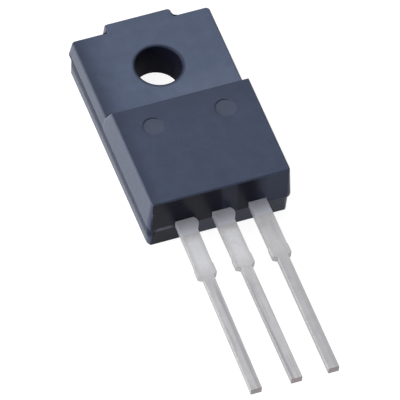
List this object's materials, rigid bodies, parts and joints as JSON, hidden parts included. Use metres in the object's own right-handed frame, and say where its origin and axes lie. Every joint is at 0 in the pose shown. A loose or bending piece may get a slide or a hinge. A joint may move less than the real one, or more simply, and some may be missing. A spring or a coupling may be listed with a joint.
{
  "type": "power transistor",
  "caption": "Fully moulded power transistor in a dark epoxy package, with a mounting hole through its thin tab and flat tinned leads for a circuit board",
  "frame": {"origin": "Axis of the mounting hole, on the flat back face", "axes": "X across the package, Y towards the tab's end, Z out of the front face"},
  "size_m": [0.01, 0.0303, 0.0043],
  "materials": {
    "moulded_epoxy": "semi-matte moulded epoxy, dark slate",
    "tinned_copper": "dull tin plating",
    "silicon": "metallised silicon",
    "solder": "dull solder",
    "aluminium_wire": "drawn wire"
  },
  "bodies": {
    "root": {"moulded_body": "moulded_epoxy", "heat_spreader_and_centre_lead": "tinned_copper", "left_lead": "tinned_copper", "right_lead": "tinned_copper", "silicon_die": "silicon", "die_solder": "solder", "base_bond_wire": "aluminium_wire", "emitter_bond_wire_inner": "aluminium_wire", "emitter_bond_wire_outer": "aluminium_wire"}
  },
  "joints": []
}
